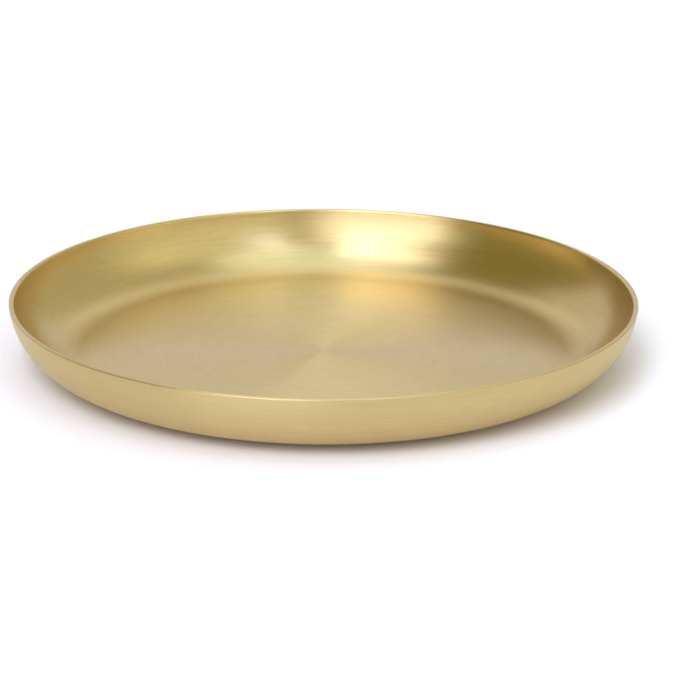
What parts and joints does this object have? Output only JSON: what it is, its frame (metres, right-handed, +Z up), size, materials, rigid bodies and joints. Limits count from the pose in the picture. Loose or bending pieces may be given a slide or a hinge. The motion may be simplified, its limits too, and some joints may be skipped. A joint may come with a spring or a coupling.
{
  "type": "round tray",
  "caption": "Round shallow serving tray spun from brass sheet, with a flat floor, a wall curving up to a plain eased lip, and low rubber feet.",
  "frame": {"origin": "middle of the footprint, on the surface that the feet stand on", "axes": "+Z up through the open side of the tray; the tray is round about Z; -Y faces the camera of the picture"},
  "size_m": [0.3, 0.3, 0.0321],
  "materials": {
    "brushed_brass": "satin, brushed in rings round the middle, unlacquered look",
    "foot_rubber": "matt, moulded"
  },
  "bodies": {
    "root": {"tray_shell": "brushed_brass", "foot_front_left": "foot_rubber", "foot_front_right": "foot_rubber", "foot_rear_left": "foot_rubber", "foot_rear_right": "foot_rubber"}
  },
  "joints": []
}
